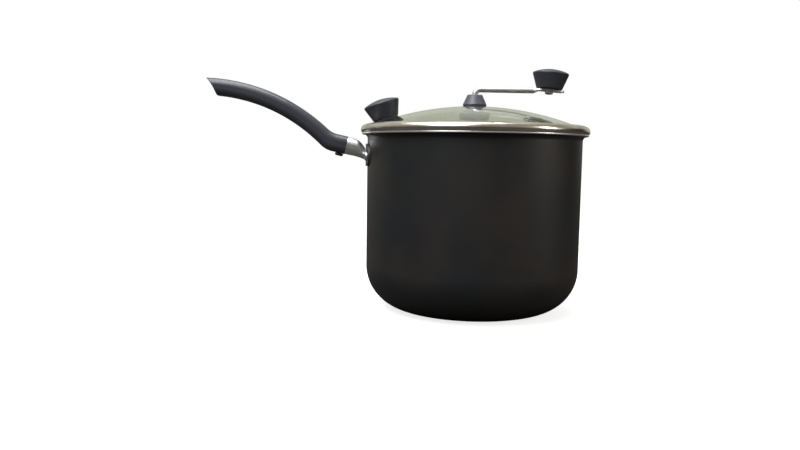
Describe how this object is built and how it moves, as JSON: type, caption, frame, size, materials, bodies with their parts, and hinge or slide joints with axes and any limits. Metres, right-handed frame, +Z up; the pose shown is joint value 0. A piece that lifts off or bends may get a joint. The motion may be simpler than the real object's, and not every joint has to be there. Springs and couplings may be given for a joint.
{
  "type": "stovetop popcorn popper",
  "caption": "Deep round stovetop pot with a long arched handle and a domed glass lid; a crank knob on the lid turns a wire stirrer at the floor of the pot.",
  "frame": {"origin": "on the pot's axis at its flat underside", "axes": "+Z up along the pot axis and the crank shaft; the long handle points along -X and the crank along +X at rest"},
  "size_m": [0.3973, 0.2384, 0.2541],
  "materials": {
    "pot_coating": "dark grey satin coating over aluminium",
    "steel": "plain steel",
    "rod_steel": "satin drawn steel",
    "rivet_aluminium": "satin",
    "bright_metal": "bright polished sleeve",
    "band_steel": "polished stainless sheet",
    "phenolic": "black moulded phenolic",
    "hub_plastic": "dark grey moulded hub",
    "glass": "clear tempered glass, faint green",
    "silicone": "dark silicone",
    "brass": "turned brass"
  },
  "bodies": {
    "pot": {"pot_shell": "pot_coating", "handle_bracket": "steel", "bracket_rivets": "rivet_aluminium", "flame_guard": "bright_metal", "handle_grip": "phenolic", "grip_screw": "steel"},
    "lid": {"lid_glass": "glass", "lid_band": "band_steel", "lid_knob": "phenolic", "lid_knob_insert": "brass", "lid_knob_seal": "silicone", "lid_knob_inner_seal": "silicone", "lid_knob_washer": "steel", "lid_knob_screw": "steel", "bearing_cone": "hub_plastic", "bearing_seal": "silicone", "bearing_inner_seal": "silicone", "bearing_washer": "steel", "bearing_nut": "steel"},
    "crank": {"crank_rod": "rod_steel", "shaft_collar": "steel", "collar_screw": "steel", "stirrer_hub": "steel", "stirrer_screw": "steel", "stirrer_wire": "rod_steel"},
    "crank_knob": {"crank_knob": "phenolic", "crank_knob_insert": "brass", "crank_knob_washer": "steel", "crank_knob_screw": "steel"}
  },
  "joints": [
    {"name": "lid_lift", "type": "slide", "parent": "pot", "child": "lid", "axis": [0, 0, 1], "range_m": [0, 0.21]},
    {"name": "crank_turn", "type": "hinge", "parent": "lid", "child": "crank", "pos_m": [0, 0, 0.23155], "axis": [0, 0, 1], "continuous": true},
    {"name": "crank_knob_spin", "type": "hinge", "parent": "crank", "child": "crank_knob", "pos_m": [0.0785, 0, 0.23258], "axis": [0.0785, 0, 0.9969], "continuous": true}
  ]
}
